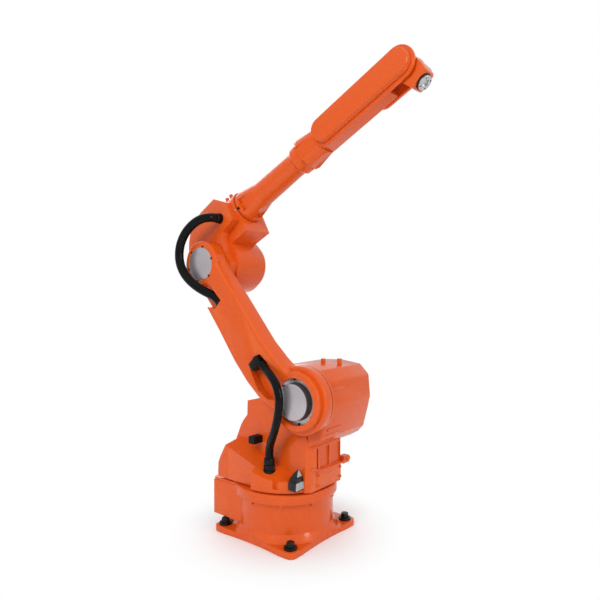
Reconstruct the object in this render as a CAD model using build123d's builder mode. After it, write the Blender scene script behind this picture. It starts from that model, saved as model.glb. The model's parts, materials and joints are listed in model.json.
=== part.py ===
"""Six axis industrial robot arm: bolted base, turning waist, leaning lower arm, elbow, long forearm and wrist.

Millimetres, +Z up. The origin is the centre of the foot's underside, on the axis of the waist.
+X is the way the arm reaches, and the round caps of the shoulder and elbow face -Y.
"""
from build123d import *
from math import cos, pi, radians, sin, tan
import os

os.makedirs("parts", exist_ok=True)

# Rest pose and link lengths
SHOULDER_X = 178.0
SHOULDER_Z = 536.0
LOWER_ARM_LENGTH = 700.0
LOWER_ARM_LEAN = 45.0
FOREARM_OFFSET = 155.0
FOREARM_LENGTH = 1030.0
FOREARM_RISE = 28.0
WRIST_DROP = 72.0
TOOL_REACH = 100.0

# Clearances
RUNNING_GAP = 6.0
ROLL_GAP = 5.0
BEARING_CLEARANCE = 0.3
HOLE_CLEARANCE = 1.0

# Base
FOOT_SPAN = 396.0
FOOT_THICKNESS = 22.0
FOOT_CORNER = 62.0
FOOT_ROUND = 24.0
FOOT_SCALLOP = 8.0
FLARE_REACH = 20.0
FLARE_TOP = 48.0
ANCHOR_PITCH = 330.0
ANCHOR_HOLE = 22.0
WASHER_RADIUS = 24.0
WASHER_HEIGHT = 8.0
DRUM_RADIUS = 184.0
RING_RADIUS = 199.0
RING_BOTTOM = 158.0
RING_TOP = 193.0
RING_EDGE = 4.0
GUSSET_COUNT = 10
GUSSET_WIDTH = 12.0
GUSSET_REACH = 11.0
GUSSET_DROP = 12.0
TURN_SPIGOT_RADIUS = 120.0
TURN_SPIGOT_DEPTH = 16.0

# Connector box
BOX_REAR = 237.0
BOX_SEAT = 60.0
BOX_WIDTH = 330.0
BOX_BOTTOM = 50.0
BOX_TOP = 183.0
BOX_ROUND = 10.0
BOX_PLATE = 6.0
BOX_PLATE_MARGIN = 16.0
CONNECTOR_DEPTH = 20.0

# Waist skirt: its top falls to the front and to both sides
SKIRT_REAR = 208.0
SKIRT_HALF = 165.0
SKIRT_HEIGHT = 200.0
SKIRT_FALL_FRONT = 0.33
SKIRT_FALL_SIDE = 0.36
COVER_FRONT = 150.0
TURNTABLE_RADIUS = 190.0
TURNTABLE_HEIGHT = 14.0
PAD_START = -4.0
PAD_END = 131.0
SLOT_START = 85.0
SLOT_WIDTH = 19.0
SLOT_FLOOR = 158.0
GLAND_X = 42.0
GLAND_Y = 140.0
GLAND_SEAT = 269.0
GLAND_TOP = 311.0
GLAND_RADIUS = 23.0

# Waist pillar
WAIST_NEAR = 96.0
WAIST_FAR = 114.0
WAIST_FRONT = 190.0
FRONT_CHAMFER = 14.0
FRONT_TOP = 362.0
RECESS_DEPTH = 7.0
RECESS_WIDTH = 148.0
RECESS_CENTER_Y = 26.0
UPPER_RECESS_BOTTOM = 274.0
UPPER_RECESS_TOP = 350.0
LOWER_RECESS_BOTTOM = 209.0
LOWER_RECESS_TOP = 260.0
FRONT_RIB_PITCH = 67.0
FRONT_RIB_WIDTH = 8.0
COVER_PROUD = 2.0
LEDGE_PROUD = 6.0
LEDGE_DEPTH = 18.0
STOP_REACH = 46.0
DOME_START = 133.0
DOME_WIDTH = 36.0
DOME_DEPTH = 44.0
DOME_HEIGHT = 75.0

# Shoulder motor housing
SHOULDER_FACE_Y = -98.0
SHOULDER_BOSS_RADIUS = 121.0
SHOULDER_BOSS_HEIGHT = 10.0
SHOULDER_SPIGOT_RADIUS = 66.0
SPIGOT_DEPTH = 14.0
MOTOR_HOUSING_END = 182.0
HOUSING_ROUND = 15.0
HOUSING_EDGE = 6.0
MOTOR_CAP_DEPTH = 52.0
MOTOR_CAP_MARGIN = 3.0
MOTOR_CAP_INSET = 34.0
RIB_PROUD = 5.0
RIB_HEIGHT = 12.0
RIB_LENGTH = 78.0
RIB_START_Y = -62.0
STUD_RADIUS = 9.0
STUD_HEIGHT = 15.0

# Lower arm
ARM_THICKNESS = 56.0
HUB_RADIUS = 123.0
HUB_FACE_RADIUS = 106.0
HUB_STEP = 22.0
HUB_ROUND = 8.0
HEAD_RADIUS = 92.0
BEAM_FLARE = 10.0
BEAM_EDGE = 7.0
HUB_OPENING_RADIUS = 83.0
HUB_OPENING_DEPTH = 24.0
SHOULDER_FLANGE_THICKNESS = 8.0
SHOULDER_CAP_RADIUS = 60.0
SHOULDER_CAP_HEIGHT = 34.0
SHOULDER_CAP_DRAFT = 12.0
ELBOW_CAP_RADIUS = 68.0
ELBOW_CAP_HEIGHT = 7.0
ELBOW_CAP_ROUND = 2.5
POCKET_DEPTH = 34.0
NOTCH_TO_ELBOW = 188.0
NOTCH_DEPTH = 42.0
NOTCH_HALF = 24.0
NOTCH_HOSE_Y = -141.0
NOTCH_HOSE_ACROSS = 42.0
SOCKET_RADIUS = 20.5
SOCKET_HEIGHT = 10.0
HOSE_FITTING_ALONG = 212.0
HOSE_FITTING_ACROSS = 40.0
HOSE_FITTING_LENGTH = 34.0
HOSE_FITTING_WIDTH = 52.0
HOSE_FITTING_PROUD = 18.0
LOWER_HOSE_DIAMETER = 30.0
UPPER_HOSE_DIAMETER = 36.0

# Elbow
ELBOW_SPIGOT_RADIUS = 50.0
CHEEK_THICKNESS = 38.0
ELBOW_BODY_FAR_Y = 76.0
ELBOW_DRUM_RADIUS = 115.0
ELBOW_DRUM_FAR_Y = 92.0
ELBOW_COVER_MARGIN = 12.0
ELBOW_COVER_DEPTH = 30.0
ELBOW_COVER_DRAFT = 10.0
ELBOW_FRONT = 205.0
ROLL_HOUSING_START = 40.0
ROLL_HOUSING_RADIUS = 74.0
ROLL_SPIGOT_RADIUS = 48.0
ELBOW_GLAND_RADIUS = 21.0
ELBOW_GLAND_HEIGHT = 26.0
PLUG_RADIUS = 8.0
PLUG_HEIGHT = 14.0

# Forearm
ROOT_FLANGE = 14.0
FLARE_RADIUS = 68.0
FLARE_END = 310.0
TUBE_ROOT_RADIUS = 47.0
TUBE_TIP_RADIUS = 39.0
COLLAR_LENGTH = 106.0
COLLAR_NECK = 36.0
COLLAR_RISE = 32.0
COLLAR_RADIUS = 67.0
COLLAR_END_RADIUS = 57.0
COLLAR_LAP = 16.0
ROOT_POCKETS = 6
ROOT_POCKET_FLOOR = 52.0
ROOT_POCKET_WIDTH = 30.0
ROOT_POCKET_LENGTH = 46.0
COLLAR_POCKETS = 6
COLLAR_POCKET_FLOOR = 61.0
COLLAR_POCKET_WIDTH = 22.0
COLLAR_POCKET_LENGTH = 52.0

# Wrist fork
WRIST_BODY_HALF = 44.0
WRIST_BODY_HEIGHT = 46.0
WRIST_BODY_ROUND = 18.0
WRIST_SLOT_HALF = 38.0
WRIST_SLOT_DEPTH = 75.0
WRIST_RIM_RADIUS = 57.0
WRIST_RIM_LENGTH = 338.0
WRIST_RIM_FACE_Y = -50.0
WRIST_RIM_BAND = 10.0
WRIST_RIM_GAP = 1.0
WRIST_COVER_RAISE = 22.0
WRIST_COVER_RADIUS = 41.0
FAR_CHEEK_LENGTH = 120.0
FAR_CHEEK_PROUD = 6.0

# Wrist bend body and tool flange
TILT_RADIUS = 45.0
TILT_HALF = 33.0
TILT_WAIST = 60.0
TILT_WAIST_UP = 42.0
TILT_WAIST_DOWN = 38.0
TILT_END = 33.0
TILT_ROUND = 10.0
PIVOT_RADIUS = 22.0
PIVOT_DEPTH = 7.0
TOOL_GAP = 3.0
TOOL_FLANGE_RADIUS = 25.0
TOOL_FLANGE_THICKNESS = 10.0
TOOL_PITCH_CIRCLE = 40.0
TOOL_HOLE_RADIUS = 3.0
TOOL_BORE_RADIUS = 12.5
TOOL_BORE_DEPTH = 6.0
TOOL_SHAFT_WALL = 3.0

ARM_INNER_Y = SHOULDER_FACE_Y - RUNNING_GAP
ARM_OUTER_Y = ARM_INNER_Y - ARM_THICKNESS
WAIST_BOTTOM = RING_TOP + RUNNING_GAP
TURNTABLE_TOP = WAIST_BOTTOM + TURNTABLE_HEIGHT
HOUSING_NEAR_Y = SHOULDER_FACE_Y + SHOULDER_BOSS_HEIGHT
NOTCH_END = LOWER_ARM_LENGTH - NOTCH_TO_ELBOW


def side_plane(y):
    """Upright plane that faces -Y, with local x along +X and local y up."""
    return Plane(origin=(0, y, 0), x_dir=(1, 0, 0), z_dir=(0, -1, 0))


def end_plane(x):
    """Upright plane that faces +X, with local x along +Y and local y up."""
    return Plane(origin=(x, 0, 0), x_dir=(0, 1, 0), z_dir=(1, 0, 0))


def arm_plane(y):
    """Plane of the lower arm: local x runs from shoulder to elbow, local y points to the rear."""
    lean = radians(LOWER_ARM_LEAN)
    return Plane(origin=(SHOULDER_X, y, SHOULDER_Z), x_dir=(-sin(lean), 0, cos(lean)), z_dir=(0, -1, 0))


ELBOW_POINT = arm_plane(0).from_local_coords(Vector(LOWER_ARM_LENGTH, 0, 0))


def fore_plane(y):
    """Plane of the forearm from the elbow axis: local x runs along the forearm, local y away from the floor."""
    rise = radians(FOREARM_RISE)
    return Plane(origin=(ELBOW_POINT.X, y, ELBOW_POINT.Z), x_dir=(cos(rise), 0, sin(rise)), z_dir=(0, -1, 0))


def fore_section(along):
    """Plane across the forearm at a distance from the elbow: local x is +Y and local y away from the floor."""
    spot = fore_plane(0).from_local_coords(Vector(along, FOREARM_OFFSET, 0))
    return Plane(origin=spot, x_dir=(0, 1, 0), z_dir=fore_plane(0).x_dir)


def tilt_plane(y):
    """Plane of the wrist: local x points from the bend axis to the tool, local y forward and up."""
    spot = fore_plane(y).from_local_coords(Vector(FOREARM_LENGTH, FOREARM_OFFSET, 0))
    tip = radians(FOREARM_RISE - WRIST_DROP)
    return Plane(origin=spot, x_dir=(cos(tip), 0, sin(tip)), z_dir=(0, -1, 0))


def tilt_section(along):
    """Plane across the wrist at a distance from the bend axis, facing the tool."""
    spot = tilt_plane(0).from_local_coords(Vector(along, 0, 0))
    return Plane(origin=spot, x_dir=(0, 1, 0), z_dir=tilt_plane(0).x_dir)


def turned_disc(x, z, radius, back_y, front_y, edge):
    """Disc turned about an axis along Y, with a rounded edge on the face towards -Y."""
    bend = edge * (1 - cos(radians(45)))
    with BuildSketch(Plane(origin=(x, 0, z), x_dir=(1, 0, 0), z_dir=(0, 0, 1))) as half_section:
        with BuildLine():
            Polyline((radius - edge, front_y), (0, front_y), (0, back_y), (radius, back_y), (radius, front_y + edge))
            ThreePointArc((radius, front_y + edge), (radius - bend, front_y + bend), (radius - edge, front_y))
        make_face()
    revolve(half_section.sketch, axis=Axis((x, 0, z), (0, 1, 0)))


def finish(builder, name):
    builder.part.label = name
    export_step(builder.part, f"parts/{name}.step")


# Base casting: square foot, flared drum and turning ring
anchor_spots = [(sx * ANCHOR_PITCH / 2, sy * ANCHOR_PITCH / 2) for sx in (-1, 1) for sy in (-1, 1)]
foot_half = FOOT_SPAN / 2
with BuildPart() as base_casting:
    with BuildSketch(Plane.XY):
        with BuildLine():
            for turn in range(4):
                step = turn * 90.0
                start = Vector(foot_half, -foot_half + FOOT_CORNER, 0).rotate(Axis.Z, step)
                middle = Vector(foot_half - FOOT_SCALLOP, 0, 0).rotate(Axis.Z, step)
                end = Vector(foot_half, foot_half - FOOT_CORNER, 0).rotate(Axis.Z, step)
                corner = Vector(foot_half, foot_half, 0).rotate(Axis.Z, step)
                following = Vector(foot_half - FOOT_CORNER, foot_half, 0).rotate(Axis.Z, step)
                ThreePointArc(start, middle, end)
                Polyline(end, corner, following)
        make_face()
    extrude(amount=FLARE_TOP)
    fillet(base_casting.edges().filter_by(Axis.Z).filter_by(lambda e: abs(e.center().X) > foot_half - 1
                                                             and abs(e.center().Y) > foot_half - 1), FOOT_ROUND)
    with BuildSketch(side_plane(0)):
        Polygon((0, 0), (FOOT_SPAN, 0), (FOOT_SPAN, FOOT_THICKNESS), (DRUM_RADIUS + FLARE_REACH, FOOT_THICKNESS),
                (DRUM_RADIUS, FLARE_TOP), (0, FLARE_TOP), align=None)
    revolve(axis=Axis.Z, mode=Mode.INTERSECT)
    with BuildSketch(side_plane(0)):
        Polygon((0, FOOT_THICKNESS), (DRUM_RADIUS, FOOT_THICKNESS), (DRUM_RADIUS, RING_BOTTOM),
                (RING_RADIUS, RING_BOTTOM), (RING_RADIUS, RING_TOP - RING_EDGE),
                (RING_RADIUS - RING_EDGE, RING_TOP), (0, RING_TOP), align=None)
    revolve(axis=Axis.Z)
    with BuildSketch(Plane.XY.offset(RING_BOTTOM - GUSSET_DROP)):
        with PolarLocations(DRUM_RADIUS, GUSSET_COUNT, start_angle=-90):
            Rectangle(2 * GUSSET_REACH, GUSSET_WIDTH)
    extrude(amount=GUSSET_DROP)
    with BuildSketch(Plane.XY.offset(RING_TOP)):
        Circle(TURN_SPIGOT_RADIUS + BEARING_CLEARANCE)
    extrude(amount=-TURN_SPIGOT_DEPTH - HOLE_CLEARANCE, mode=Mode.SUBTRACT)
    with BuildSketch(Plane.XY):
        with Locations(*anchor_spots):
            Circle(ANCHOR_HOLE / 2)
    extrude(amount=FOOT_THICKNESS, mode=Mode.SUBTRACT)
finish(base_casting, "base_casting")

# Connector box behind the base
with BuildPart() as connector_box:
    with BuildSketch(Plane.XY.offset(BOX_BOTTOM)):
        with Locations((-BOX_REAR, 0)):
            Rectangle(BOX_REAR - BOX_SEAT, BOX_WIDTH, align=(Align.MIN, Align.CENTER))
    extrude(amount=BOX_TOP - BOX_BOTTOM)
    fillet(connector_box.faces().sort_by(Axis.X)[0].edges(), BOX_ROUND)
    with BuildSketch(Plane.XY.offset(BOX_BOTTOM)):
        Circle(DRUM_RADIUS)
    extrude(amount=BOX_TOP - BOX_BOTTOM, mode=Mode.SUBTRACT)
    add(base_casting.part, mode=Mode.SUBTRACT)
finish(connector_box, "connector_box")

box_middle = (BOX_BOTTOM + BOX_TOP) / 2
with BuildPart() as connector_plate:
    with BuildSketch(Plane(origin=(-BOX_REAR, 0, box_middle), x_dir=(0, -1, 0), z_dir=(-1, 0, 0))):
        RectangleRounded(BOX_WIDTH - 2 * BOX_PLATE_MARGIN, BOX_TOP - BOX_BOTTOM - 2 * BOX_PLATE_MARGIN, 8)
    extrude(amount=BOX_PLATE)
    with BuildSketch(Plane(origin=(-BOX_REAR - BOX_PLATE, 0, box_middle), x_dir=(0, -1, 0), z_dir=(-1, 0, 0))):
        with Locations((-70, 0)):
            RectangleRounded(90, 62, 6)
        with Locations((28, 0), (84, 0)):
            Circle(20)
    extrude(amount=CONNECTOR_DEPTH)
finish(connector_plate, "connector_plate")

with BuildPart() as foot_washers:
    with BuildSketch(Plane.XY.offset(FOOT_THICKNESS)):
        with Locations(*anchor_spots):
            Circle(WASHER_RADIUS)
            Circle(ANCHOR_HOLE / 2, mode=Mode.SUBTRACT)
    extrude(amount=WASHER_HEIGHT)
finish(foot_washers, "foot_washers")

# Shoulder motor housing, many sided, its outline given from the shoulder axis
housing_outline = [(-41, 114), (47, 104), (86, 66), (93, -16), (82, -62), (62, -135), (38, -160), (3, -181),
                   (-88, -191), (-168, -171), (-208, -116), (-220, -16), (-190, 74), (-133, 108)]
rib_spots = [(88, 40), (70, -105), (62, -124)]
with BuildPart() as motor_housing:
    with BuildSketch(side_plane(MOTOR_HOUSING_END)) as housing_sketch:
        with Locations((SHOULDER_X, SHOULDER_Z)):
            Polygon(*housing_outline, align=None)
        fillet(housing_sketch.vertices(), HOUSING_ROUND)
    extrude(amount=MOTOR_HOUSING_END - HOUSING_NEAR_Y)
    chamfer(motor_housing.faces().sort_by(Axis.Y)[0].edges(), HOUSING_EDGE)
    with BuildSketch(side_plane(HOUSING_NEAR_Y)):
        with Locations((SHOULDER_X, SHOULDER_Z)):
            Circle(SHOULDER_BOSS_RADIUS)
    extrude(amount=SHOULDER_BOSS_HEIGHT)
    with BuildSketch(side_plane(SHOULDER_FACE_Y)):
        with Locations((SHOULDER_X, SHOULDER_Z)):
            Circle(SHOULDER_SPIGOT_RADIUS)
    extrude(amount=RUNNING_GAP + SPIGOT_DEPTH)
    with BuildSketch(side_plane(RIB_START_Y + RIB_LENGTH)):
        for across, up in rib_spots:
            with Locations((SHOULDER_X + across - RIB_HEIGHT / 2, SHOULDER_Z + up)):
                RectangleRounded(RIB_HEIGHT + 2 * RIB_PROUD, RIB_HEIGHT, RIB_PROUD)
    extrude(amount=RIB_LENGTH)
finish(motor_housing, "motor_housing")

with BuildPart() as motor_cap:
    with BuildSketch(side_plane(MOTOR_HOUSING_END)):
        with Locations((SHOULDER_X, SHOULDER_Z)):
            Polygon(*housing_outline, align=None)
        offset(amount=-MOTOR_CAP_MARGIN, kind=Kind.INTERSECTION)
    with BuildSketch(side_plane(MOTOR_HOUSING_END + MOTOR_CAP_DEPTH)):
        with Locations((SHOULDER_X, SHOULDER_Z)):
            Polygon(*housing_outline, align=None)
        offset(amount=-MOTOR_CAP_INSET, kind=Kind.INTERSECTION)
    loft()
    add(motor_housing.part, mode=Mode.SUBTRACT)
finish(motor_cap, "motor_cap")

with BuildPart() as lifting_studs:
    with BuildSketch(Plane.XY.offset(SHOULDER_Z + STUD_HEIGHT / 2)):
        with Locations((SHOULDER_X - 34, 52), (SHOULDER_X + 14, 91)):
            Circle(STUD_RADIUS)
    extrude(amount=114 + STUD_HEIGHT / 2)
    add(motor_housing.part, mode=Mode.SUBTRACT)
finish(lifting_studs, "lifting_studs")

# Waist skirt, whole, before the motor cover is parted from the casting
skirt_rear_outline = [(0, 0), (0, 22), (2, 56), (14, 82), (37, 121), (84, SKIRT_HEIGHT)]
with BuildPart() as skirt:
    with BuildSketch(Plane.XY.offset(WAIST_BOTTOM)):
        Circle(TURNTABLE_RADIUS)
        with Locations((PAD_START, 0)):
            Rectangle(PAD_END - PAD_START, 2 * TURNTABLE_RADIUS, align=(Align.MIN, Align.CENTER),
                      mode=Mode.INTERSECT)
        for side in (-1, 1):
            with Locations((SLOT_START + SLOT_WIDTH / 2, side * (SLOT_FLOOR + TURNTABLE_RADIUS) / 2)):
                Rectangle(SLOT_WIDTH, TURNTABLE_RADIUS - SLOT_FLOOR, mode=Mode.SUBTRACT)
        with Locations((-SKIRT_REAR, 0)):
            Rectangle(SKIRT_REAR + PAD_START, 2 * SKIRT_HALF, align=(Align.MIN, Align.CENTER))
    extrude(amount=SKIRT_HEIGHT)
    with BuildSketch(side_plane(TURNTABLE_RADIUS)):
        with Locations((-SKIRT_REAR, WAIST_BOTTOM)):
            Polygon(*skirt_rear_outline, (SKIRT_REAR + PAD_END, SKIRT_HEIGHT), (SKIRT_REAR + PAD_END, 0),
                    align=None)
    extrude(amount=2 * TURNTABLE_RADIUS, mode=Mode.INTERSECT)
    for side in (-1, 1):
        roof = Plane(origin=(GLAND_X, side * GLAND_Y, GLAND_SEAT), z_dir=(SKIRT_FALL_FRONT, side * SKIRT_FALL_SIDE, 1))
        split(bisect_by=roof, keep=Keep.BOTTOM)

# Waist casting: pillar with its front frame, the skirt's front part, turntable and spigot
pillar_outline = [(-COVER_FRONT, WAIST_BOTTOM), (WAIST_FRONT, WAIST_BOTTOM), (WAIST_FRONT, FRONT_TOP),
                  (WAIST_FRONT - 14, FRONT_TOP + 40), (SHOULDER_X - 40, SHOULDER_Z - 90),
                  (SHOULDER_X - 200, SHOULDER_Z - 16), (-68, SHOULDER_Z - 29), (-113, SHOULDER_Z - 40),
                  (-115, SHOULDER_Z - 96), (-137, SHOULDER_Z - 121), (-149, SHOULDER_Z - 139),
                  (-168, SHOULDER_Z - 181), (-186, SHOULDER_Z - 218), (-COVER_FRONT, SHOULDER_Z - 218)]
with BuildPart() as waist_casting:
    with BuildSketch(side_plane(WAIST_FAR)):
        Polygon(*pillar_outline, align=None)
    extrude(amount=WAIST_FAR + WAIST_NEAR)
    chamfer(waist_casting.edges().filter_by(Axis.Z).group_by(Axis.X)[-1], FRONT_CHAMFER)
    with BuildSketch(end_plane(WAIST_FRONT)):
        with Locations((RECESS_CENTER_Y, (UPPER_RECESS_BOTTOM + UPPER_RECESS_TOP) / 2)):
            Rectangle(RECESS_WIDTH, UPPER_RECESS_TOP - UPPER_RECESS_BOTTOM)
        with Locations((RECESS_CENTER_Y - 26 - FRONT_RIB_PITCH / 2, (UPPER_RECESS_BOTTOM + UPPER_RECESS_TOP) / 2),
                       (RECESS_CENTER_Y - 26 + FRONT_RIB_PITCH / 2, (UPPER_RECESS_BOTTOM + UPPER_RECESS_TOP) / 2)):
            Rectangle(FRONT_RIB_WIDTH, UPPER_RECESS_TOP - UPPER_RECESS_BOTTOM, mode=Mode.SUBTRACT)
        with Locations((RECESS_CENTER_Y, (LOWER_RECESS_BOTTOM + LOWER_RECESS_TOP) / 2)):
            Rectangle(RECESS_WIDTH, LOWER_RECESS_TOP - LOWER_RECESS_BOTTOM)
    extrude(amount=-RECESS_DEPTH, mode=Mode.SUBTRACT)
    add(split(skirt.part, bisect_by=Plane(origin=(-COVER_FRONT, 0, 0), z_dir=(1, 0, 0)), keep=Keep.TOP,
              mode=Mode.PRIVATE))
    with BuildSketch(Plane.XY.offset(WAIST_BOTTOM)):
        Circle(TURNTABLE_RADIUS)
        with Locations((PAD_START, 0)):
            Rectangle(TURNTABLE_RADIUS - PAD_START, 2 * TURNTABLE_RADIUS, align=(Align.MIN, Align.CENTER),
                      mode=Mode.INTERSECT)
    extrude(amount=TURNTABLE_HEIGHT)
    with BuildSketch(Plane.XY.offset(WAIST_BOTTOM)):
        Circle(TURN_SPIGOT_RADIUS)
    extrude(amount=-RUNNING_GAP - TURN_SPIGOT_DEPTH)
    add(motor_housing.part, mode=Mode.SUBTRACT)
finish(waist_casting, "waist_casting")

with BuildPart() as turn_motor_cover:
    add(split(skirt.part, bisect_by=Plane(origin=(-COVER_FRONT, 0, 0), z_dir=(1, 0, 0)), keep=Keep.BOTTOM,
              mode=Mode.PRIVATE))
    add(waist_casting.part, mode=Mode.SUBTRACT)
finish(turn_motor_cover, "turn_motor_cover")

# Cover plate and ledge on the front of the waist, the ledge ends in a lug at the far side
ledge_outline = [(-82, 278), (-82, 286), (-72, 286), (-24, 270), (112, 270), (118, 286), (150, 286), (160, 273),
                 (150, 259), (112, 259), (106, 264), (-26, 264), (-72, 278)]
with BuildPart() as front_cover:
    with BuildSketch(end_plane(WAIST_FRONT - LEDGE_DEPTH)):
        Polygon(*ledge_outline, align=None)
    extrude(amount=LEDGE_DEPTH + LEDGE_PROUD)
    with BuildSketch(end_plane(WAIST_FRONT - RECESS_DEPTH)):
        with Locations((RECESS_CENTER_Y, (LOWER_RECESS_BOTTOM + LOWER_RECESS_TOP) / 2)):
            Rectangle(RECESS_WIDTH, LOWER_RECESS_TOP - LOWER_RECESS_BOTTOM)
    extrude(amount=RECESS_DEPTH + COVER_PROUD)
    with BuildSketch(end_plane(WAIST_FRONT)):
        with Locations((RECESS_CENTER_Y, LOWER_RECESS_TOP + 4)):
            Rectangle(RECESS_WIDTH, 12)
    extrude(amount=COVER_PROUD)
    add(waist_casting.part, mode=Mode.SUBTRACT)
finish(front_cover, "front_cover")

with BuildPart() as rear_stop:
    with BuildSketch(side_plane(-WAIST_NEAR)):
        with Locations((-48, SHOULDER_Z - 176)):
            RectangleRounded(32, 28, 4)
    extrude(amount=STOP_REACH)
finish(rear_stop, "rear_stop")

dome_end = DOME_START + DOME_WIDTH
with BuildPart() as dome_stop:
    with BuildSketch(side_plane(-WAIST_NEAR)):
        with BuildLine():
            Line((DOME_START, TURNTABLE_TOP), (dome_end, TURNTABLE_TOP))
            ThreePointArc((dome_end, TURNTABLE_TOP), (dome_end - 1, TURNTABLE_TOP + DOME_HEIGHT * 0.6),
                          (dome_end - 8, TURNTABLE_TOP + DOME_HEIGHT))
            ThreePointArc((dome_end - 8, TURNTABLE_TOP + DOME_HEIGHT),
                          (DOME_START + 6, TURNTABLE_TOP + DOME_HEIGHT * 0.6), (DOME_START, TURNTABLE_TOP))
        make_face()
    extrude(amount=DOME_DEPTH)
    with BuildSketch(end_plane(DOME_START)):
        with BuildLine():
            Line((-WAIST_NEAR - DOME_DEPTH, TURNTABLE_TOP), (-WAIST_NEAR, TURNTABLE_TOP))
            ThreePointArc((-WAIST_NEAR, TURNTABLE_TOP), (-WAIST_NEAR - 5, TURNTABLE_TOP + DOME_HEIGHT * 0.6),
                          (-WAIST_NEAR - DOME_DEPTH / 2, TURNTABLE_TOP + DOME_HEIGHT))
            ThreePointArc((-WAIST_NEAR - DOME_DEPTH / 2, TURNTABLE_TOP + DOME_HEIGHT),
                          (-WAIST_NEAR - DOME_DEPTH + 5, TURNTABLE_TOP + DOME_HEIGHT * 0.6),
                          (-WAIST_NEAR - DOME_DEPTH, TURNTABLE_TOP))
        make_face()
    extrude(amount=DOME_WIDTH, mode=Mode.INTERSECT)
    add(waist_casting.part, mode=Mode.SUBTRACT)
finish(dome_stop, "dome_stop")

with BuildPart() as lower_gland:
    with BuildSketch(Plane.XY.offset(GLAND_TOP)):
        with Locations((GLAND_X, -GLAND_Y)):
            Circle(GLAND_RADIUS)
    extrude(amount=-2 * (GLAND_TOP - GLAND_SEAT))
    add(waist_casting.part, mode=Mode.SUBTRACT)
finish(lower_gland, "lower_gland")

# Lower arm: flared beam between a round head and a stepped hub
beam_outline = [(0, 88), (122, 126), (200, 133), (300, 129), (440, 110), (560, 97),
                (LOWER_ARM_LENGTH, HEAD_RADIUS - 4), (LOWER_ARM_LENGTH, 16 - HEAD_RADIUS), (560, -56), (461, -52),
                (352, -43), (240, -34), (150, -38), (95, -46), (0, -60)]
pocket_outline = [(20, -50), (65, -28), (110, -5), (150, -4), (228, 8), (240, 40), (232, 79), (194, 92), (138, 107),
                  (85, 94), (50, 60)]
notch_outline = [(0, NOTCH_HOSE_ACROSS - NOTCH_HALF), (78, 20), (128, 42), (156, 140), (63, 140), (41, 98),
                 (0, NOTCH_HOSE_ACROSS + NOTCH_HALF)]
with BuildPart() as lower_arm:
    with BuildSketch(arm_plane(ARM_OUTER_Y)):
        Polygon(*beam_outline, align=None)
    with BuildSketch(arm_plane(ARM_INNER_Y)):
        Polygon(*beam_outline, align=None)
        offset(amount=BEAM_FLARE, kind=Kind.INTERSECTION)
    loft()
    chamfer(lower_arm.faces().sort_by(Axis.Y)[0].edges(), BEAM_EDGE)
    turned_disc(ELBOW_POINT.X, ELBOW_POINT.Z, HEAD_RADIUS, ARM_INNER_Y, ARM_OUTER_Y, HUB_ROUND)
    turned_disc(SHOULDER_X, SHOULDER_Z, HUB_RADIUS, ARM_INNER_Y, ARM_OUTER_Y + HUB_STEP, HUB_ROUND)
    turned_disc(SHOULDER_X, SHOULDER_Z, HUB_FACE_RADIUS, ARM_INNER_Y, ARM_OUTER_Y, HUB_ROUND)
    with BuildSketch(arm_plane(ARM_INNER_Y)):
        Circle(SHOULDER_SPIGOT_RADIUS + BEARING_CLEARANCE)
        with Locations((LOWER_ARM_LENGTH, 0)):
            Circle(ELBOW_SPIGOT_RADIUS + BEARING_CLEARANCE)
    extrude(amount=SPIGOT_DEPTH + HOLE_CLEARANCE, mode=Mode.SUBTRACT)
    with BuildSketch(arm_plane(ARM_OUTER_Y)):
        Circle(HUB_OPENING_RADIUS)
    extrude(amount=-HUB_OPENING_DEPTH, mode=Mode.SUBTRACT)
    with BuildSketch(arm_plane(ARM_OUTER_Y)):
        Polygon(*pocket_outline, align=None)
    extrude(amount=-POCKET_DEPTH, mode=Mode.SUBTRACT)
    with BuildSketch(arm_plane(ARM_OUTER_Y)):
        with Locations((NOTCH_END, 0)):
            Polygon(*notch_outline, align=None)
    extrude(amount=-NOTCH_DEPTH, mode=Mode.SUBTRACT)
finish(lower_arm, "lower_arm")

with BuildPart() as shoulder_flange:
    with BuildSketch(arm_plane(ARM_OUTER_Y + HUB_OPENING_DEPTH)):
        Circle(HUB_OPENING_RADIUS - BEARING_CLEARANCE)
    extrude(amount=SHOULDER_FLANGE_THICKNESS)
finish(shoulder_flange, "shoulder_flange")

with BuildPart() as shoulder_cap:
    with BuildSketch(arm_plane(ARM_OUTER_Y + HUB_OPENING_DEPTH - SHOULDER_FLANGE_THICKNESS)):
        Circle(SHOULDER_CAP_RADIUS)
    extrude(amount=SHOULDER_CAP_HEIGHT, taper=SHOULDER_CAP_DRAFT)
finish(shoulder_cap, "shoulder_cap")

with BuildPart() as elbow_cap:
    turned_disc(ELBOW_POINT.X, ELBOW_POINT.Z, ELBOW_CAP_RADIUS, ARM_OUTER_Y, ARM_OUTER_Y - ELBOW_CAP_HEIGHT,
                ELBOW_CAP_ROUND)
finish(elbow_cap, "elbow_cap")

with BuildPart() as arm_hose_fitting:
    with BuildSketch(arm_plane(ARM_OUTER_Y + POCKET_DEPTH)):
        with Locations((HOSE_FITTING_ALONG, HOSE_FITTING_ACROSS)):
            Rectangle(HOSE_FITTING_LENGTH, HOSE_FITTING_WIDTH)
    extrude(amount=POCKET_DEPTH + HOSE_FITTING_PROUD)
finish(arm_hose_fitting, "arm_hose_fitting")

socket_spot = arm_plane(NOTCH_HOSE_Y).from_local_coords(Vector(NOTCH_END, NOTCH_HOSE_ACROSS, 0))
with BuildPart() as arm_hose_socket:
    with BuildSketch(Plane(origin=socket_spot, z_dir=arm_plane(0).x_dir)):
        Circle(SOCKET_RADIUS)
    extrude(amount=SOCKET_HEIGHT)
finish(arm_hose_socket, "arm_hose_socket")

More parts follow.
